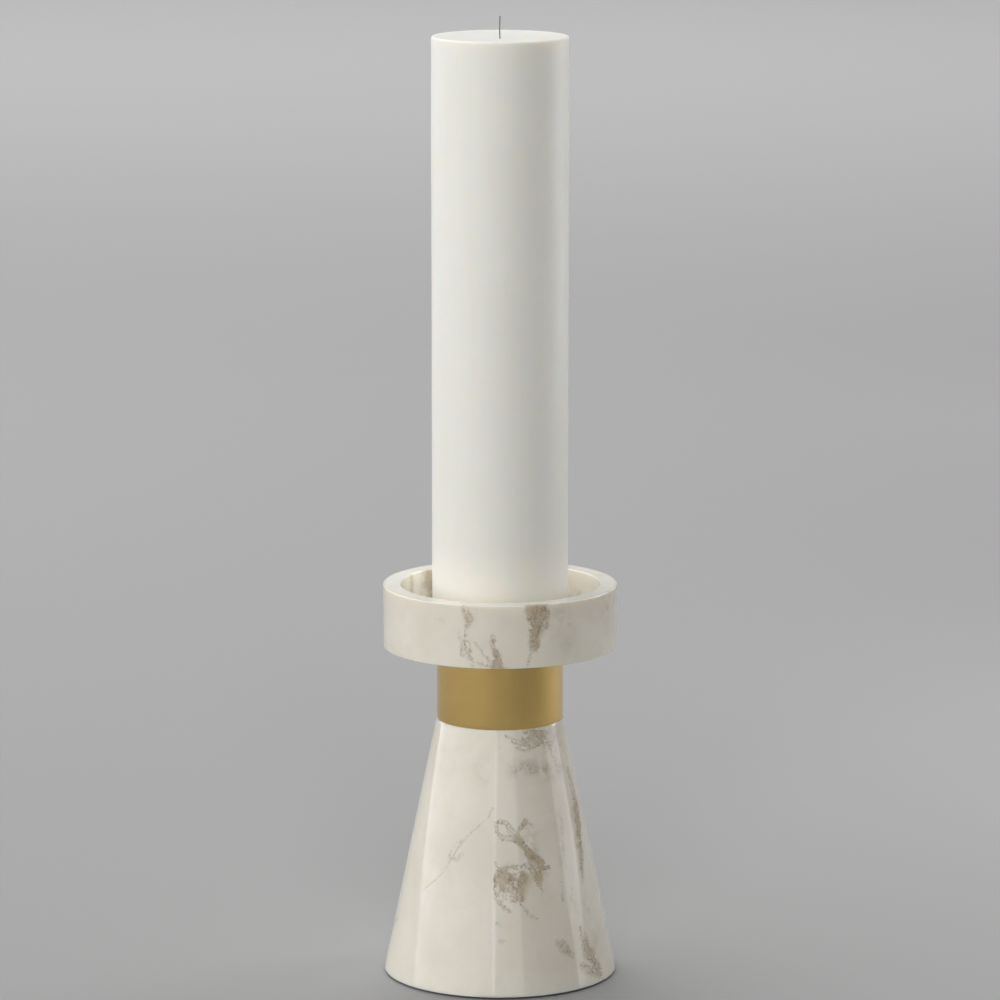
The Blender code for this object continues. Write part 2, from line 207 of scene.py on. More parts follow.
def finish_group(name, inputs, outputs):
    """An empty node group with these named sockets, given with its input sockets and its output node."""
    group = bpy.data.node_groups.new(name, "ShaderNodeTree")
    for label, kind in inputs.items():
        group.interface.new_socket(label, in_out="INPUT", socket_type=kind)
    for label, kind in outputs.items():
        group.interface.new_socket(label, in_out="OUTPUT", socket_type=kind)
    return group, group.nodes.new("NodeGroupInput").outputs, group.nodes.new("NodeGroupOutput")


# Mottled tone: a soft step through a noise, put out as a mask and as a colour between two tones.
mottled_tone, given, out = finish_group(
    "mottled_tone",
    {
        "Scale": "NodeSocketFloat",
        "Detail": "NodeSocketFloat",
        "Tone": "NodeSocketColor",
        "Other Tone": "NodeSocketColor",
    },
    {"Noise": "NodeSocketFloat", "Colour": "NodeSocketColor"},
)
everywhere = object_coordinates(mottled_tone)
cloud = noise(mottled_tone, everywhere, given["Scale"], detail=given["Detail"], roughness=0.55)
mottled_tone.links.new(cloud, out.inputs["Noise"])
toned = mix(mottled_tone, ramp(mottled_tone, cloud, 0.35, 0.65), given["Tone"], given["Other Tone"])
mottled_tone.links.new(toned, out.inputs["Colour"])


def mottled(tree, scale, detail, tone, other_tone):
    """Places the mottled tone in a material, and gives its noise and its colour."""
    values = {"Scale": scale, "Detail": detail, "Tone": tone, "Other Tone": other_tone}
    placed = add(tree, "ShaderNodeGroup", values, node_tree=mottled_tone)
    return placed.outputs["Noise"], placed.outputs["Colour"]


felt_low, felt_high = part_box("felt_pad")
felt_radius = felt_high[0]
felt_profile = outline(
    [
        (0, felt_high[2], 0),
        (felt_radius, felt_high[2], FELT_EDGE),
        (felt_radius, felt_low[2], FELT_EDGE),
        (0, felt_low[2], 0),
    ],
    step=2.5 * MM,
)


def cut_edge(angle, radius, height):
    """A punched edge that wanders by hundredths of a millimetre, in a few waves round the disc."""
    wander = np.sin(7 * angle) + 0.6 * np.sin(17 * angle + 1) + 0.4 * np.sin(41 * angle + 2)
    return -0.05 * MM * (1 + wander / 2) * (radius > 0.98 * felt_radius)


felt = turned_mesh("felt_foot", felt_profile, 180, cut_edge)
felt_finish, tree, shader = node_material("pressed_felt")
nap, wool = mottled(tree, 2600, 3, linear(80, 77, 72), linear(110, 106, 98))
fibres = noise(tree, object_coordinates(tree, (1, 6, 1)), 900, detail=2, distortion=1.5)
fluff = math_node(tree, "MULTIPLY_ADD", fibres, 0.5, math_node(tree, "MULTIPLY", nap, 0.5))
wool = mix(tree, ramp(tree, fibres, 0.4, 0.7, 0.0, 0.4), wool, linear(72, 69, 64))
dress(tree, shader, wool, ramp(tree, fluff, 0.3, 0.7, 0.86, 0.98), bump(tree, fluff, 0.15 * MM))
shader.inputs["Sheen Weight"].default_value = 0.3
felt.data.materials.append(felt_finish)
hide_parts("felt_pad")
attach(felt, "stand")


# Marble base: a cone turned from cream marble and polished, with a neck that the collar sleeves over.
# Brown limonite veins run through it in lacy patches, cut off along one old crack in the stone.

COLLAR_WALL = 2.5 * MM
FIT_CLEARANCE = 0.3 * MM
SEAT_GAP = 0.3 * MM
JOINT_LINE = 0.05 * MM
SHOULDER_LEDGE = 0.3 * MM
COUNTERBORE_CLEARANCE = 3 * MM
STUD_HOLE_RADIUS = 5 * MM
STONE_EDGE = 0.8 * MM
SHOULDER_EDGE = 0.25 * MM
FOOT_EDGE = 0.35 * MM
FOOT_CORNER = 0.08 * MM  # how far the sharp corner would stand past the rounded foot
STONE_STEP = 1.3 * MM
base_low, base_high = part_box("marble_base")
collar_low, collar_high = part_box("brass_collar")
washer_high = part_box("rubber_washer")[1]
collar_radius = collar_high[0]
neck_radius = collar_radius - COLLAR_WALL - FIT_CLEARANCE
shoulder_height = collar_low[2] - JOINT_LINE
counterbore_radius = washer_high[0] + COUNTERBORE_CLEARANCE
counterbore_top = washer_high[2] + SEAT_GAP
outside = outline(
    [
        (STUD_HOLE_RADIUS, base_high[2], 0),
        (neck_radius, base_high[2], STONE_EDGE),
        (neck_radius, shoulder_height, 0),
        (collar_radius + SHOULDER_LEDGE, shoulder_height, SHOULDER_EDGE),
        (base_high[0] + FOOT_CORNER, base_low[2], FOOT_EDGE),
        (counterbore_radius, base_low[2], 0),
    ],
    step=STONE_STEP,
)
bores = [(counterbore_radius, counterbore_top), (STUD_HOLE_RADIUS, counterbore_top)]
base = turned_mesh("stone_base", np.concatenate([outside, bores]), 320, closed=True)


FADE = 1.25


def points_of(piece):
    """Angle from the front in degrees, radius and height of a piece's points. The front faces -Y."""
    place = np.empty(len(piece.data.vertices) * 3)
    piece.data.vertices.foreach_get("co", place)
    x, y, z = place.reshape(-1, 3).T
    return np.degrees(np.arctan2(x, -y)), np.hypot(x, y), z


def stroke(surface, path):
    """How near each point lies to a painted stroke, from 1 on its line to 0 at FADE half-widths from it.

    The path is (angle in degrees, height in mm, half-width in mm). Distance is measured on the unrolled
    surface, to the nearest point of each straight stretch, and the half-width changes evenly along it.
    """
    angle, radius, height = surface
    nearest = np.zeros_like(angle)
    path = np.array(path, float)
    for (a0, z0, w0), (a1, z1, w1) in zip(path[:-1], path[1:]):
        across = np.radians((angle - a0 + 180) % 360 - 180) * radius
        up = height - z0 * MM
        run = np.radians(a1 - a0) * radius
        rise = np.full_like(run, (z1 - z0) * MM)
        share = np.clip((across * run + up * rise) / (run**2 + rise**2 + 1e-12), 0, 1)
        gap = np.hypot(across - share * run, up - share * rise)
        nearest = np.maximum(nearest, 1 - gap / ((w0 + (w1 - w0) * share) * FADE * MM))
    return np.clip(nearest, 0, 1)


def strokes(surface, painted):
    """The strongest of several strokes at each point, each given as (strength, path)."""
    return np.maximum.reduce([strength * stroke(surface, path) for strength, path in painted])


def paint(piece, name, field):
    """Keeps a field of one value for each point of a piece as a named attribute."""
    piece.data.attributes.new(name, "FLOAT", "POINT").data.foreach_set("value", field.astype(np.float32))


base_surface = points_of(base)
CRACK_ANGLE = -4.3
CRACK_WIDTH = 0.8
right_of_crack = np.clip((base_surface[0] - CRACK_ANGLE) / CRACK_WIDTH + 0.5, 0, 1)

under_collar = strokes(base_surface, [
    (0.75, [(24, 134, 2.5), (32, 133, 3), (40, 132, 2.5), (46, 131, 1.5)]),
    (0.8, [(22, 130, 2), (29, 128, 2.6), (36, 127, 1.6)]),
    (0.75, [(5, 132, 1), (12, 129.5, 1.4), (20, 128, 1.4), (30, 125.5, 1.2)]),
    (0.6, [(36, 130, 1.4), (41, 127, 1.6), (45, 127, 1.2)]),
    (0.5, [(14, 126, 1.0), (20, 124.5, 1.2), (28, 124, 1.0)]),
    (0.35, [(42, 130, 3), (48, 122, 3), (51, 115, 2)]),
    (0.3, [(13, 116, 3), (22, 117, 3), (28, 113, 3), (40, 115, 4)]),
])
forked_vein = strokes(base_surface, [
    (0.75, [(-2, 89, 1.2), (4, 89, 1.4), (8, 86, 1.4)]),
    (0.75, [(-3, 88, 1.2), (-2, 84, 1.4), (2, 81, 1.6), (8, 81, 1.6), (13, 78, 1.6)]),
    (0.75, [(11, 81, 1.4), (13, 85, 1.4), (18, 89, 1.6)]),
    (0.35, [(19, 89, 1.2), (24, 86, 1.2)]),
    (0.95, [(6, 86, 1.6), (12, 80, 2.2), (20, 72, 2.6), (28, 67, 2.0)]),
    (0.8, [(21, 69, 2.5), (26, 66, 3), (32, 65, 1.5)]),
    (0.8, [(19, 66, 2), (24, 62, 3), (24, 57, 2), (26, 53, 1)]),
    (0.6, [(-4, 70, 1), (-1, 65, 1.4), (5, 66, 1.8), (12, 66, 2), (18, 67, 2)]),
    (0.7, [(0, 63, 2.5), (7, 61, 4), (13, 61, 4)]),
    (0.65, [(9, 59, 4), (11, 54, 3.5), (13, 50, 2)]),
    (0.55, [(-4, 63, 2), (-3, 56, 3), (-2, 51, 2.5), (3, 46, 2), (6, 44, 1.2)]),
    (0.55, [(1, 56, 3.5), (7, 53, 4), (10, 50, 3)]),
    (0.45, [(2, 52, 1.5), (8, 49, 2), (13, 47, 1.5)]),
    (0.4, [(13, 47, 1.4), (17, 42, 1.6), (22, 39.5, 1.2)]),
    (0.35, [(-2, 39, 1.5), (1, 36, 1.5)]),
    (0.4, [(-1.5, 29, 1.5), (2, 30, 1.5)]),
]) * right_of_crack
thin_vein = strokes(base_surface, [
    (0.4, [(-24, 80, 1.2), (-28, 77, 2), (-33, 74, 1.6), (-34, 69, 1.6), (-29, 69, 1.8), (-25, 72, 1.4)]),
])


FAR = 20.0


def hairline_from(surface, path):
    """Distance across a fine line in mm, below zero on its left, and FAR past its ends.

    The path is (angle in degrees, height in mm) from the foot up. Distance is measured level round the piece.
    """
    angle, radius, height = surface
    angles, heights = np.array(path, float).T
    across = (angle - np.interp(height / MM, heights, angles)) * np.radians(radius) / MM
    beside = (height / MM > heights[0]) & (height / MM < heights[-1])
    return np.where(beside, np.clip(across, -FAR, FAR), FAR)


base_hairline = hairline_from(
    base_surface,
    [(-52, 50), (-44, 56), (-37, 62), (-33, 68), (-27, 77), (-19, 84), (-9, 91), (-4, 97)],
)
side_vein = strokes(base_surface, [
    (0.8, [(67, 110, 2), (70, 96, 3), (69, 86, 4.5)]),
    (0.8, [(69, 86, 4.5), (66, 76, 4)]),
    (0.55, [(66, 76, 4), (61, 60, 3)]),
    (0.35, [(61, 60, 2.5), (59, 53, 1.5)]),
    (0.65, [(50, 31, 2), (53, 20, 5), (57, 11, 6), (62, 4, 3)]),
    (0.5, [(47, 12, 3), (52, 9, 4), (57, 8, 4)]),
    (0.5, [(33, 27, 2.5), (36, 22, 3), (41, 19, 2)]),
    (0.4, [(36, 27, 1.5), (39, 23, 1.5)]),
    (0.35, [(40, 57, 1.4), (39.5, 47, 1.4)]),
    (0.2, [(48, 88, 2), (46, 78, 2), (45, 70, 2)]),
    (0.22, [(49, 56, 2), (46, 48, 2.5), (49, 40, 2), (46, 32, 2)]),
])
back_veins = strokes(base_surface, [
    (1.0, [(112, 126, 3), (121, 108, 5), (128, 88, 4), (124, 70, 7), (134, 56, 5), (150, 44, 2)]),
    (0.8, [(128, 88, 3), (141, 92, 3), (150, 104, 2)]),
    (0.7, [(-100, 118, 2), (-112, 96, 3), (-118, 78, 5), (-132, 60, 3), (-140, 38, 2)]),
    (0.85, [(-160, 40, 3), (-168, 24, 7), (-176, 12, 6), (-182, 4, 3)]),
    (0.6, [(170, 130, 3), (176, 112, 4), (184, 98, 2)]),
    (0.5, [(-80, 30, 2), (-92, 16, 4), (-98, 6, 3)]),
])
base_vein = np.maximum.reduce([under_collar, forked_vein, thin_vein, side_vein, back_veins])
stain_by_crack = right_of_crack * strokes(base_surface, [
    (1.0, [(-4, 60, 7), (6, 60, 9), (12, 58, 9)]),
    (0.4, [(16, 88, 5), (22, 80, 7), (27, 62, 7)]),
])
other_stains = strokes(base_surface, [
    (0.35, [(24, 131, 5), (38, 131, 6)]),
    (0.8, [(11, 81, 2.5), (20, 72, 3.5), (27, 67, 3.5), (24, 61, 4)]),
    (0.8, [(69, 90, 7), (65, 72, 7)]),
    (0.4, [(65, 72, 6), (60, 58, 4)]),
    (0.5, [(53, 20, 8), (59, 8, 7)]),
    (0.8, [(122, 96, 9), (124, 72, 12), (136, 54, 8)]),
    (0.7, [(-164, 32, 9), (-174, 12, 9)]),
])
base_haze = strokes(base_surface, [
    (1.0, [(42, 134, 9), (51, 124, 13), (54, 113, 7)]),
    (0.8, [(14, 115, 7), (28, 116, 8), (42, 113, 8)]),
    (0.5, [(45, 90, 5), (44, 66, 5)]),
    (0.5, [(60, 40, 9), (62, 22, 10)]),
    (0.4, [(-18, 118, 10), (-14, 108, 6)]),
    (0.5, [(130, 110, 14), (140, 60, 14)]),
    (0.5, [(-120, 90, 16), (-150, 40, 16)]),
])
paint(base, "vein", base_vein)
paint(base, "stain", np.maximum(stain_by_crack, other_stains))
paint(base, "haze", base_haze)
paint(base, "hairline", base_hairline)
paint(base, "painted_light", np.zeros_like(base_hairline))


def painted(tree, name):
    """The value painted on a piece under this name."""
    return add(tree, "ShaderNodeAttribute", attribute_name=name).outputs["Fac"]


def away_from(tree, value, middle):
    """How far a value lies from a middle value, on either side of it."""
    return math_node(tree, "ABSOLUTE", math_node(tree, "SUBTRACT", value, middle))


def strongest(tree, first, *others):
    """The largest of several values."""
    for other in others:
        first = math_node(tree, "MAXIMUM", first, other)
    return first


marble, tree, shader = node_material("cream_marble")
place = object_coordinates(tree)
vein = painted(tree, "vein")
stain = painted(tree, "stain")
haze = painted(tree, "haze")
hairline = painted(tree, "hairline")
painted_light = painted(tree, "painted_light")
DRIFT = (0.016, 0.016, 0.012)
drift = add(tree, "ShaderNodeTexNoise", {"Vector": place, "Scale": 110.0, "Detail": 4.0}).outputs["Color"]
drifted = add(tree, "ShaderNodeVectorMath", {0: drift, 1: DRIFT, 2: place}, operation="MULTIPLY_ADD")
warped = drifted.outputs[0]
soft = noise(tree, warped, 150, detail=4, roughness=0.6)
lace = noise(tree, warped, 400, detail=5, roughness=0.62)
clouds = noise(tree, place, 26, detail=5, roughness=0.55, distortion=0.6)
mottle = noise(tree, warped, 75, detail=6, roughness=0.6)


def threads(scale, width):
    """Thin curling lines, where a noise lies within width of its middle value."""
    level = noise(tree, warped, scale, detail=1.2, roughness=0.5)
    return ramp(tree, away_from(tree, level, 0.5), 0.0, width, 1.0, 0.0)


# A vein spreads where its painted stroke and the noise together are strong: tan inside, dark at its edge.
ragged = math_node(tree, "MULTIPLY_ADD", soft, 2.7, math_node(tree, "MULTIPLY", lace, 0.9))
spread = math_node(tree, "ADD", vein, math_node(tree, "SUBTRACT", ragged, 1.8))
present = ramp(tree, vein, 0.0, 0.5)
smudge = math_node(tree, "MULTIPLY", ramp(tree, spread, 0.3, 0.75), ramp(tree, stain, 0.0, 0.6, 0.3, 1.0))
smudge = math_node(tree, "MULTIPLY", smudge, present)
core = ramp(tree, spread, 0.9, 1.4, 0.0, 0.45)
edge = ramp(tree, away_from(tree, spread, 0.42), 0.0, 0.1, 1.0, 0.0)
edge = math_node(tree, "MULTIPLY", edge, ramp(tree, lace, 0.4, 0.58, 0.3, 1.0))
web = strongest(tree, threads(150, 0.02), threads(240, 0.026))
lines = math_node(tree, "MULTIPLY", web, ramp(tree, spread, 0.1, 0.5, 0.0, 0.5))
fringe = ramp(tree, away_from(tree, spread, 0.35), 0.1, 0.5, 0.95, 0.0)
curls = strongest(tree, threads(300, 0.05), threads(420, 0.05))
curls = math_node(tree, "MULTIPLY", curls, fringe)
dark = math_node(tree, "MULTIPLY", strongest(tree, edge, lines, core, curls), present)
wander = math_node(tree, "MULTIPLY_ADD", soft, 3.0, math_node(tree, "SUBTRACT", hairline, 1.5))
hair = ramp(tree, math_node(tree, "ABSOLUTE", wander), 0.2, 0.9, 0.42, 0.0)
hair = math_node(tree, "MULTIPLY", hair, ramp(tree, lace, 0.4, 0.6, 0.15, 1.0))
dark = strongest(tree, dark, hair)
tan = math_node(tree, "MULTIPLY_ADD", soft, 1.6, math_node(tree, "SUBTRACT", stain, 0.8))
tan = math_node(tree, "MULTIPLY", ramp(tree, tan, 0.1, 0.9), ramp(tree, stain, 0.0, 0.3))
mist = math_node(tree, "MULTIPLY", ramp(tree, haze, 0.0, 1.0), ramp(tree, soft, 0.35, 0.65, 0.1, 1.0))
stone = mix(tree, ramp(tree, clouds, 0.35, 0.65), linear(224, 219, 207), linear(218, 212, 199))
# Painted light: where the dish's rim and hollow are marked, the stone is painted paler, standing in for the
# light that falls there.
stone = mix(tree, math_node(tree, "MULTIPLY", painted_light, 0.8), stone, linear(243, 240, 232))
stone = mix(tree, ramp(tree, mottle, 0.5, 0.75, 0.0, 0.25), stone, linear(206, 197, 185))
stone = mix(tree, math_node(tree, "MULTIPLY", mist, 0.7), stone, linear(182, 173, 161))
stone = mix(tree, math_node(tree, "MULTIPLY", tan, 0.65), stone, linear(186, 173, 147))
stone = mix(tree, math_node(tree, "MULTIPLY", smudge, 0.62), stone, linear(182, 168, 143))
stone = mix(tree, math_node(tree, "MULTIPLY", dark, 0.72), stone, linear(118, 98, 72))
polish = math_node(tree, "MULTIPLY_ADD", dark, 0.1, ramp(tree, clouds, 0.3, 0.7, 0.045, 0.08))
dress(tree, shader, stone, polish, bump(tree, dark, -0.02 * MM, 0.4))
shader.inputs["Subsurface Weight"].default_value = 0.7
shader.inputs["Subsurface Radius"].default_value = (1.0, 0.8, 0.55)
shader.inputs["Subsurface Scale"].default_value = 6 * MM
base.data.materials.append(marble)
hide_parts("marble_base")
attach(base, "stand")


# Hidden hardware: zinc-plated stud, nut and washers, and a rubber washer that keeps the steel off the stone.
# Turned and rolled parts, drawn together in the counterbore under the felt.

# Turned lines: a noise drawn out round the axis, so that it shows as fine level lines left by a tool.
turned_lines, given, out = finish_group(
    "turned_lines", {"Round": "NodeSocketFloat", "Along": "NodeSocketFloat"}, {"Lines": "NodeSocketFloat"}
)
cells = {"X": given["Round"], "Y": given["Round"], "Z": given["Along"]}
stretch = add(turned_lines, "ShaderNodeCombineXYZ", cells).outputs["Vector"]
drawn = noise(turned_lines, object_coordinates(turned_lines, stretch), 1.0, detail=3, roughness=0.6)
turned_lines.links.new(drawn, out.inputs["Lines"])


def tool_lines(tree, round_scale, along_scale):
    """Places the turned lines in a material, with so many cells to the metre round the axis and along it."""
    values = {"Round": round_scale, "Along": along_scale}
    return add(tree, "ShaderNodeGroup", values, node_tree=turned_lines).outputs["Lines"]


zinc, tree, shader = node_material("zinc_plated_steel")
plated = mottled(tree, 1400, 3, (0.50, 0.51, 0.53, 1), (0.62, 0.63, 0.64, 1))[1]
turning = tool_lines(tree, 30, 4000)
dress(tree, shader, plated, ramp(tree, turning, 0.3, 0.7, 0.28, 0.42), bump(tree, turning, 0.01 * MM))
shader.inputs["Metallic"].default_value = 1.0

black_rubber, tree, shader = node_material("black_rubber")
bloom, rubber = mottled(tree, 700, 4, (0.022, 0.022, 0.022, 1), (0.05, 0.05, 0.05, 1))
dress(tree, shader, rubber, ramp(tree, bloom, 0.3, 0.7, 0.62, 0.8), bump(tree, bloom, 0.02 * MM))


def refinish(node, finish):
    """Gives a CAD node that keeps its shape a new finish."""
    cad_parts[node].data.materials.clear()
    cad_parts[node].data.materials.append(finish)


for node in ("tie_stud", "flat_washer", "spring_washer", "clamp_nut"):
    refinish(node, zinc)
refinish("rubber_washer", black_rubber)


# Brass collar: a length of drawn tube, faced at both ends and given a satin finish with fine lines round it.
# It sleeves over the base's neck and the dish's spigot and hides the joint between them.

BRASS_EDGE = 0.35 * MM
BEDDED = 0.2 * MM  # how far the collar reaches into the bedding line under the dish
collar_top = collar_high[2] + BEDDED
collar_bore_radius = collar_radius - COLLAR_WALL
collar_profile = outline(
    [
        (collar_radius, collar_top, BRASS_EDGE),
        (collar_radius, collar_low[2], BRASS_EDGE),
        (collar_bore_radius, collar_low[2], 0),
        (collar_bore_radius, collar_top, 0),
    ],
    step=2 * MM,
    closed=True,
)
collar = turned_mesh("satin_collar", collar_profile, 256, closed=True)
satin_brass, tree, shader = node_material("satin_brass")
lines = tool_lines(tree, 25, 5200)
tone = mottled(tree, 45, 4, (0.78, 0.54, 0.19, 1), (0.73, 0.505, 0.175, 1))[1]
tone = mix(tree, ramp(tree, lines, 0.3, 0.7, 0.0, 0.15), tone, (0.64, 0.44, 0.15, 1))
dress(tree, shader, tone, ramp(tree, lines, 0.3, 0.7, 0.20, 0.26), bump(tree, lines, 0.006 * MM, 0.4))
shader.inputs["Metallic"].default_value = 1.0
shader.inputs["Coat Weight"].default_value = 0.25
shader.inputs["Coat Roughness"].default_value = 0.25
collar.data.materials.append(satin_brass)
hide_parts("brass_collar")
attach(collar, "stand")


# Threaded insert: a knurled bush of free-cutting brass, glued into the dish's spigot to take the stud.
# It is bright from the lathe, with dull glue smears in the knurl.

machined_brass, tree, shader = node_material("machined_brass")
smears, bright = mottled(tree, 600, 4, (0.70, 0.52, 0.22, 1), (0.50, 0.38, 0.18, 1))
cut = tool_lines(tree, 40, 3500)
dress(tree, shader, bright, ramp(tree, smears, 0.35, 0.7, 0.3, 0.55), bump(tree, cut, 0.01 * MM))
shader.inputs["Metallic"].default_value = 1.0
refinish("threaded_insert", machined_brass)


# Marble dish: turned from the same block, with a flat rim, straight walls and a small rounded inner corner.
# Its spigot drops into the collar, and the veins run across the wall more steeply than on the base.

DISH_WALL = 9 * MM
INNER_CORNER = 1.5 * MM
BORE_EDGE = 0.5 * MM
RIM_EDGE = 0.4 * MM
dish_low, dish_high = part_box("marble_dish")
insert_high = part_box("threaded_insert")[1]
dish_radius = dish_high[0]
dish_bore_radius = dish_radius - DISH_WALL
dish_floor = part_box("wax_candle")[0][2] - SEAT_GAP
dish_underside = collar_high[2] + SEAT_GAP
insert_hole_radius = insert_high[0] + FIT_CLEARANCE
insert_hole_top = insert_high[2] + SEAT_GAP
dish_profile = outline(
    [
        (0, dish_floor, 0),
        (dish_bore_radius, dish_floor, INNER_CORNER),
        (dish_bore_radius, dish_high[2], BORE_EDGE),
        (dish_radius, dish_high[2], RIM_EDGE),
        (dish_radius, dish_underside, RIM_EDGE),
        (neck_radius, dish_underside, 0),
        (neck_radius, dish_low[2], STONE_EDGE),
        (insert_hole_radius, dish_low[2], 0),
        (insert_hole_radius, insert_hole_top, 0),
        (0, insert_hole_top, 0),
    ],
    step=STONE_STEP,
)
dish = turned_mesh("stone_dish", dish_profile, 360)

dish_surface = points_of(dish)
angle, radius, height = dish_surface
OUTER_REACH = 3.25 * MM  # how far the outer wall's veins reach in across the rim
INNER_REACH = 2.75 * MM
VEIN_FADE = 2.5 * MM
outer = np.clip((radius - dish_radius + OUTER_REACH) / VEIN_FADE, 0, 1)
inner = np.clip((dish_bore_radius + INNER_REACH - radius) / VEIN_FADE, 0, 1)
outer_veins = strokes(dish_surface, [
    (1.0, [(17, 210, 5), (18.5, 203, 6), (18, 198, 5)]),
    (0.8, [(22, 208, 2), (23, 201, 2.5), (23, 194, 1.4)]),
    (0.75, [(19, 197, 3.5), (17, 190, 3), (17, 184, 3)]),
    (0.5, [(15.5, 184, 1.2), (13.5, 175, 0.9)]),
    (0.55, [(13, 208, 1.2), (13.5, 202, 1.4), (15, 192, 1.4)]),
    (0.6, [(-18, 207, 1.5), (-16.5, 202, 3), (-15, 199, 3), (-16.5, 194, 1.2)]),
    (0.6, [(-16.5, 196, 1), (-17, 187, 1.2), (-18.5, 180, 1.6)]),
    (0.4, [(-15.5, 187, 1.6), (-14.5, 180, 2), (-13.5, 175, 1.6)]),
    (0.3, [(-20, 192, 1.2), (-19, 182, 1.5)]),
    (0.4, [(-12.5, 187, 1), (-8, 181, 1.2), (-5, 177, 1.6)]),
    (0.4, [(-10, 176, 1.5), (-6, 175, 2)]),
    (0.8, [(-3.5, 191, 0.8), (-3.3, 187, 2), (-3.2, 183.5, 1)]),
    (0.85, [(-2, 183, 1), (-1.6, 178, 2.6), (-1, 172, 4.5)]),
    (0.18, [(36, 202, 1.5), (36, 188, 1.5)]),
    (0.22, [(-33, 197, 1.2), (-28, 196.5, 1.2)]),
    (0.3, [(68, 206, 2), (66, 196, 2)]),
    (1.0, [(99, 201, 2.5), (104, 195, 6), (101, 184, 4), (108, 174, 3)]),
    (0.8, [(150, 206, 2), (156, 194, 4), (170, 184, 5), (176, 174, 3)]),
    (0.8, [(-91, 200, 2), (-95, 192, 5), (-92, 180, 3), (-99, 173, 3)]),
    (0.6, [(-140, 200, 2), (-150, 188, 3), (-166, 176, 3)]),
])
inner_veins = strokes(dish_surface, [
    (0.12, [(-117, 206, 1.5), (-119, 196, 2.5), (-118, 188, 2)]),
    (0.25, [(-133, 206, 2.5), (-136, 198, 5), (-138, 188, 4)]),
    (0.7, [(10, 204, 3), (16, 192, 5), (12, 187, 3)]),
    (0.6, [(-60, 204, 2), (-52, 190, 4)]),
])
outer_stains = strokes(dish_surface, [
    (1.0, [(18, 210, 8), (19, 203, 8), (19, 196, 6), (17, 186, 4)]),
    (0.7, [(-2, 182, 3), (-0.5, 173, 6)]),
    (0.35, [(-16, 200, 4), (-15, 180, 4)]),
    (1.0, [(102, 197, 6), (103, 186, 8)]),
    (0.7, [(-93, 195, 6), (-94, 182, 6)]),
    (0.7, [(160, 192, 8), (174, 180, 7)]),
])
inner_stains = strokes(dish_surface, [
    (0.6, [(126, 192, 5), (134, 189, 7)]),
    (0.8, [(-116, 204, 4), (-118, 190, 4)]),
    (1.0, [(-134, 204, 8), (-138, 190, 11)]),
])
outer_haze = strokes(dish_surface, [
    (0.5, [(30, 206, 9), (34, 186, 10)]),
    (0.4, [(60, 204, 6), (66, 190, 8)]),
    (0.4, [(120, 200, 12), (140, 182, 12)]),
])
# The rim and the hollow are painted paler than the outer wall: painted light, standing in for the light that
# falls into the hollow and onto the rim.
FLOOR_FADE = 2 * MM
WALL_FADE = 1.5 * MM
in_hollow = np.clip((height - dish_floor) / FLOOR_FADE + 1, 0, 1)
within_wall = np.clip((dish_radius - radius) / WALL_FADE, 0, 1)
paint(dish, "vein", np.maximum(outer * outer_veins, inner * inner_veins))
paint(dish, "stain", np.maximum(outer * outer_stains, inner * inner_stains))
paint(dish, "haze", outer * outer_haze)
paint(dish, "hairline", np.full_like(angle, FAR))
paint(dish, "painted_light", in_hollow * within_wall)
dish.data.materials.append(marble)
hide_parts("marble_dish")
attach(dish, "stand")


# Pillar candle: cast ivory wax, smooth from its mould, whose top sank a little towards the wick as it cooled.
# Light sinks a few millimetres into it, so its shadows are soft, and its foot is painted paler and warmer, a
# painted glow of the light thrown up from the dish.

SINK = 1.4 * MM
DIMPLE = 0.3 * MM
WICK_HOLE_RADIUS = 0.65 * MM
WAX_TOP_EDGE = 1.1 * MM
WAX_FOOT_EDGE = 1.0 * MM
PAINTED_BOUNCE_FOOT = (15 * MM, 45 * MM)
candle_low, candle_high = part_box("wax_candle")
candle_radius = candle_high[0]
wax_level = candle_high[2] - SINK
# The top is a shallow bowl, whose height above its middle grows with the square of the radius.
bowl = [(share * candle_radius, wax_level + SINK * share**2, 0) for share in np.linspace(0.05, 0.95, 19)]
candle_profile = outline(
    [
        (WICK_HOLE_RADIUS, wax_level - DIMPLE, 0),
        *bowl,
        (candle_radius, candle_high[2], WAX_TOP_EDGE),
        (candle_radius, candle_low[2], WAX_FOOT_EDGE),
        (WICK_HOLE_RADIUS, candle_low[2], 0),
    ],
    step=1.6 * MM,
)


def cast_waver(angle, radius, height):
    """The slow unevenness of a cast side: a few hundredths of a millimetre in broad waves."""
    crossing = np.sin(3 * angle + 40 * height) + 0.7 * np.sin(5 * angle - 65 * height + 1)
    waves = crossing + 0.5 * np.sin(90 * height)
    return 0.03 * MM * (waves - 2.2) * (radius > 0.9 * candle_radius)


candle = turned_mesh("ivory_candle", candle_profile, 256, cast_waver, closed=True)
wax, tree, shader = node_material("ivory_wax")
cooling, body = mottled(tree, 30, 3, linear(229, 228, 222), linear(228, 227, 220))
streaks = noise(tree, object_coordinates(tree, (160, 160, 5)), 1.0, detail=3)
pores = noise(tree, object_coordinates(tree), 900, detail=2)
body = mix(tree, ramp(tree, streaks, 0.4, 0.7, 0.0, 0.15), body, linear(222, 220, 212))
level = add(tree, "ShaderNodeSeparateXYZ", {0: object_coordinates(tree)}).outputs["Z"]
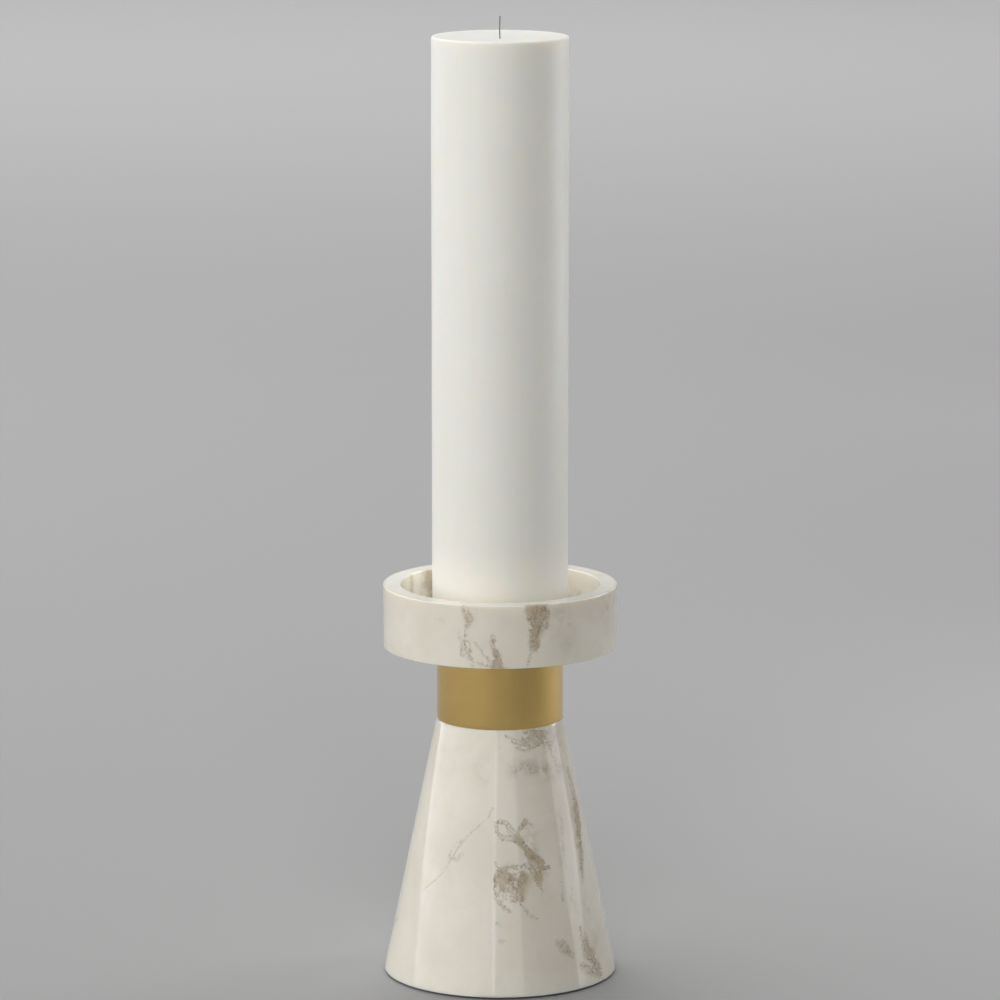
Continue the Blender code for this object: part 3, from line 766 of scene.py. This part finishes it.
# Painted bounce light: the foot is painted paler and warmer, standing in for light thrown up onto it from the
# dish.
foot = ramp(tree, level, candle_low[2] + PAINTED_BOUNCE_FOOT[0], candle_low[2] + PAINTED_BOUNCE_FOOT[1], 0.5, 0.0)
body = mix(tree, foot, body, linear(251, 247, 236))
dress(tree, shader, body, ramp(tree, cooling, 0.3, 0.7, 0.44, 0.52), bump(tree, pores, 0.015 * MM))
shader.inputs["Subsurface Weight"].default_value = 1.0
shader.inputs["Subsurface Radius"].default_value = (1.0, 0.75, 0.5)
shader.inputs["Subsurface Scale"].default_value = 5 * MM
shader.inputs["IOR"].default_value = 1.44
candle.data.materials.append(wax)
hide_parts("wax_candle")
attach(candle, "candle")


# Wick: three waxed cotton strands laid together, run through the candle and standing free at its top.
# The free end leans a little just above the wax, where it was trimmed and straightened by hand.

WICK_RADIUS = 0.35 * MM
WICK_BEND = 0.25 * MM
STRANDS = 3
LAY = 3.2 * MM
ROOT = 4 * MM  # length below the wax level that still has close rows
TIP = 0.4 * MM  # length over which the cut end is rounded
wick_low, wick_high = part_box("candle_wick")
wick_top = wick_high[2] - SINK
wick_height = np.concatenate([
    np.linspace(wick_low[2], wax_level - ROOT, 60)[:-1],
    np.linspace(wax_level - ROOT, wick_top, 110),
])[:, None]
free = np.clip((wick_height - wax_level) / (wick_top - wax_level), 0, 1)
lean = -WICK_BEND * np.sin(math.pi * free) * np.cos(math.pi * free / 2)
turn = np.linspace(0, math.tau, 24, endpoint=False)[None, :]
# The section is a circle with one shallow swell for each strand, and turns once in each lay.
swell = WICK_RADIUS * (0.88 + 0.12 * np.cos(STRANDS * (turn - math.tau * wick_height / LAY)))
section = swell * np.sqrt(np.clip((wick_top - wick_height) / TIP, 0.05, 1))
x, y, z = np.broadcast_arrays(lean + section * np.cos(turn), section * np.sin(turn), wick_height)
ring = np.arange(section.size).reshape(section.shape)
beside = np.roll(ring, -1, axis=1)
wick_faces = np.stack([ring[:-1], beside[:-1], beside[1:], ring[1:]], axis=-1).reshape(-1, 4).tolist()
wick_faces += [ring[0, ::-1].tolist(), ring[-1].tolist()]
wick = piece_from("cotton_wick", np.stack([x, y, z], axis=-1).reshape(-1, 3), wick_faces)
cotton, tree, shader = node_material("waxed_cotton")
strands, yarn = mottled(tree, 5200, 2, linear(96, 94, 90), linear(138, 135, 128))
dress(tree, shader, yarn, ramp(tree, strands, 0.3, 0.7, 0.7, 0.9), bump(tree, strands, 0.03 * MM))
wick.data.materials.append(cotton)
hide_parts("candle_wick")
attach(wick, "candle")


# Studio: a grey paper sweep, three tall softboxes side by side on the left, and others all round and above.
# The room is dim, and the camera stands where the photograph was taken from.

def sweep(front, depth, width, bend, wall):
    """Floor and backdrop as one sheet: level from front to depth, then a quarter circle, then upright."""
    turn = np.linspace(0, math.pi / 2, 24)[1:]
    along = np.concatenate([
        np.stack([np.linspace(front, depth, 60), np.zeros(60)], axis=-1),
        np.stack([depth + bend * np.sin(turn), bend * (1 - np.cos(turn))], axis=-1),
        np.stack([np.full(8, depth + bend), np.linspace(bend, bend + wall, 9)[1:]], axis=-1),
    ])
    across = np.linspace(-width / 2, width / 2, 21)
    x, y = np.meshgrid(across, along[:, 0])
    z = np.repeat(along[:, 1:], len(across), axis=1)
    index = np.arange(x.size).reshape(x.shape)
    quads = np.stack([index[:-1, :-1], index[:-1, 1:], index[1:, 1:], index[1:, :-1]], axis=-1).reshape(-1, 4)
    return piece_from("studio_sweep", np.stack([x, y, z], axis=-1).reshape(-1, 3), quads.tolist())


floor = sweep(front=-14.0, depth=6.0, width=28.0, bend=3.0, wall=4.0)
paper, tree, shader = node_material("grey_paper")
ground = add(tree, "ShaderNodeSeparateXYZ", {0: add(tree, "ShaderNodeTexCoord").outputs["Object"]}).outputs
grey = mix(tree, ramp(tree, ground["Y"], -0.4, 2.0), linear(158, 158, 158), linear(173, 173, 173))
tree.links.new(grey, shader.inputs["Base Color"])
shader.inputs["Roughness"].default_value = 0.9
shader.inputs["Specular IOR Level"].default_value = 0.2
# Outside the lamps' reach the paper shows as one even grey, to the camera and in reflections only.
LIT_HALF_WIDTH = 0.85
LIT_FRONT = -1.2
LIT_FADE = 0.8
beside_lamps = math_node(tree, "SUBTRACT", math_node(tree, "ABSOLUTE", ground["X"]), LIT_HALF_WIDTH)
behind_lamps = math_node(tree, "SUBTRACT", LIT_FRONT, ground["Y"])
past_lamps = ramp(tree, strongest(tree, beside_lamps, behind_lamps), 0.0, LIT_FADE)
ray = add(tree, "ShaderNodeLightPath").outputs
seen = strongest(tree, ray["Is Glossy Ray"], ray["Is Transmission Ray"], ray["Is Camera Ray"])
even = add(tree, "ShaderNodeEmission", {"Color": linear(168, 168, 168)}).outputs["Emission"]
even_share = math_node(tree, "MULTIPLY", past_lamps, seen)
sheet = add(tree, "ShaderNodeMixShader", {0: even_share, 1: shader.outputs["BSDF"], 2: even})
tree.links.new(sheet.outputs["Shader"], tree.nodes["Material Output"].inputs["Surface"])
paper.cycles.emission_sampling = "NONE"
floor.data.materials.append(paper)


def softbox(name, centre, aim, width, height, radiance):
    """A rectangular lamp that faces its aim. Its power is its radiance times pi times its area."""
    lamp = bpy.data.lights.new(name, "AREA")
    lamp.shape = "RECTANGLE"
    lamp.size = width
    lamp.size_y = height
    lamp.energy = radiance * math.pi * width * height
    made = bpy.data.objects.new(name, lamp)
    made.location = centre
    made.rotation_euler = (Vector(centre) - Vector(aim)).to_track_quat("Z", "Y").to_euler()
    bpy.context.scene.collection.objects.link(made)


# On the left, from the camera's side to behind the candlestick.
softbox("near_bank", (-1.44, -2.3, 1.0), (0.63, -1.1, 1.0), 1.47, 2.0, 1.7)
softbox("left_bank", (-2.17, -1.03, 1.0), (-0.1, 0.17, 1.0), 1.47, 2.0, 1.85)
softbox("far_bank", (-2.9, 0.24, 1.0), (-0.83, 1.44, 1.0), 1.47, 2.0, 2.2)
softbox("side_panel", (-1.943, 1.417, 0.25), (0, 0, 0.25), 1.846, 0.5, 2.0)
# Behind and above the camera, and overhead.
softbox("front_panel", (-0.73, -3.3, 1.05), (0, 0, 1.05), 0.9, 1.3, 2.0)
softbox("front_strip", (0.47, -3.37, 0.75), (0, 0, 0.75), 1.95, 1.0, 1.25)
softbox("front_softbox", (-0.1, -2.3, 2.1), (0, 0, 0.25), 1.4, 1.0, 6.25)
softbox("top_softbox", (-0.62, 0.72, 2.42), (0, 0, 0.25), 1.3, 1.3, 3.7)
# On the right, from the side to behind the candlestick.
softbox("right_strip", (2.2, 0.35, 0.3), (0, 0, 0.3), 1.2, 0.7, 1.5)
softbox("right_panel", (1.15, 1.7, 0.52), (0, 0, 0.52), 0.8, 1.0, 0.75)
softbox("right_softbox", (0.88, 0.46, 0.45), (0, 0, 0.4), 0.4, 0.6, 4.5)
# Over the backdrop.
softbox("back_softbox", (-0.8, 5.0, 4.0), (-0.8, 5.0, 0), 8.0, 4.0, 3.2)

world = bpy.data.worlds.new("dim_room")
world.use_nodes = True
world.node_tree.nodes["Background"].inputs["Color"].default_value = (0.02, 0.02, 0.02, 1)
bpy.context.scene.world = world

FOCAL_PIXELS = 5070.4
PICTURE_PIXELS = 1000
CAMERA_PLACE = (0, -2.5627, 0.7231)
CAMERA_DOWN = math.radians(10.483)
lens = bpy.data.cameras.new("photo_camera")
lens.sensor_width = 36.0
lens.lens = FOCAL_PIXELS / PICTURE_PIXELS * lens.sensor_width
lens.clip_end = 100.0
camera = bpy.data.objects.new("photo_camera", lens)
camera.location = CAMERA_PLACE
camera.rotation_euler = (math.pi / 2 - CAMERA_DOWN, 0, 0)
bpy.context.scene.collection.objects.link(camera)
bpy.context.scene.camera = camera
bpy.context.scene.view_settings.view_transform = "Standard"
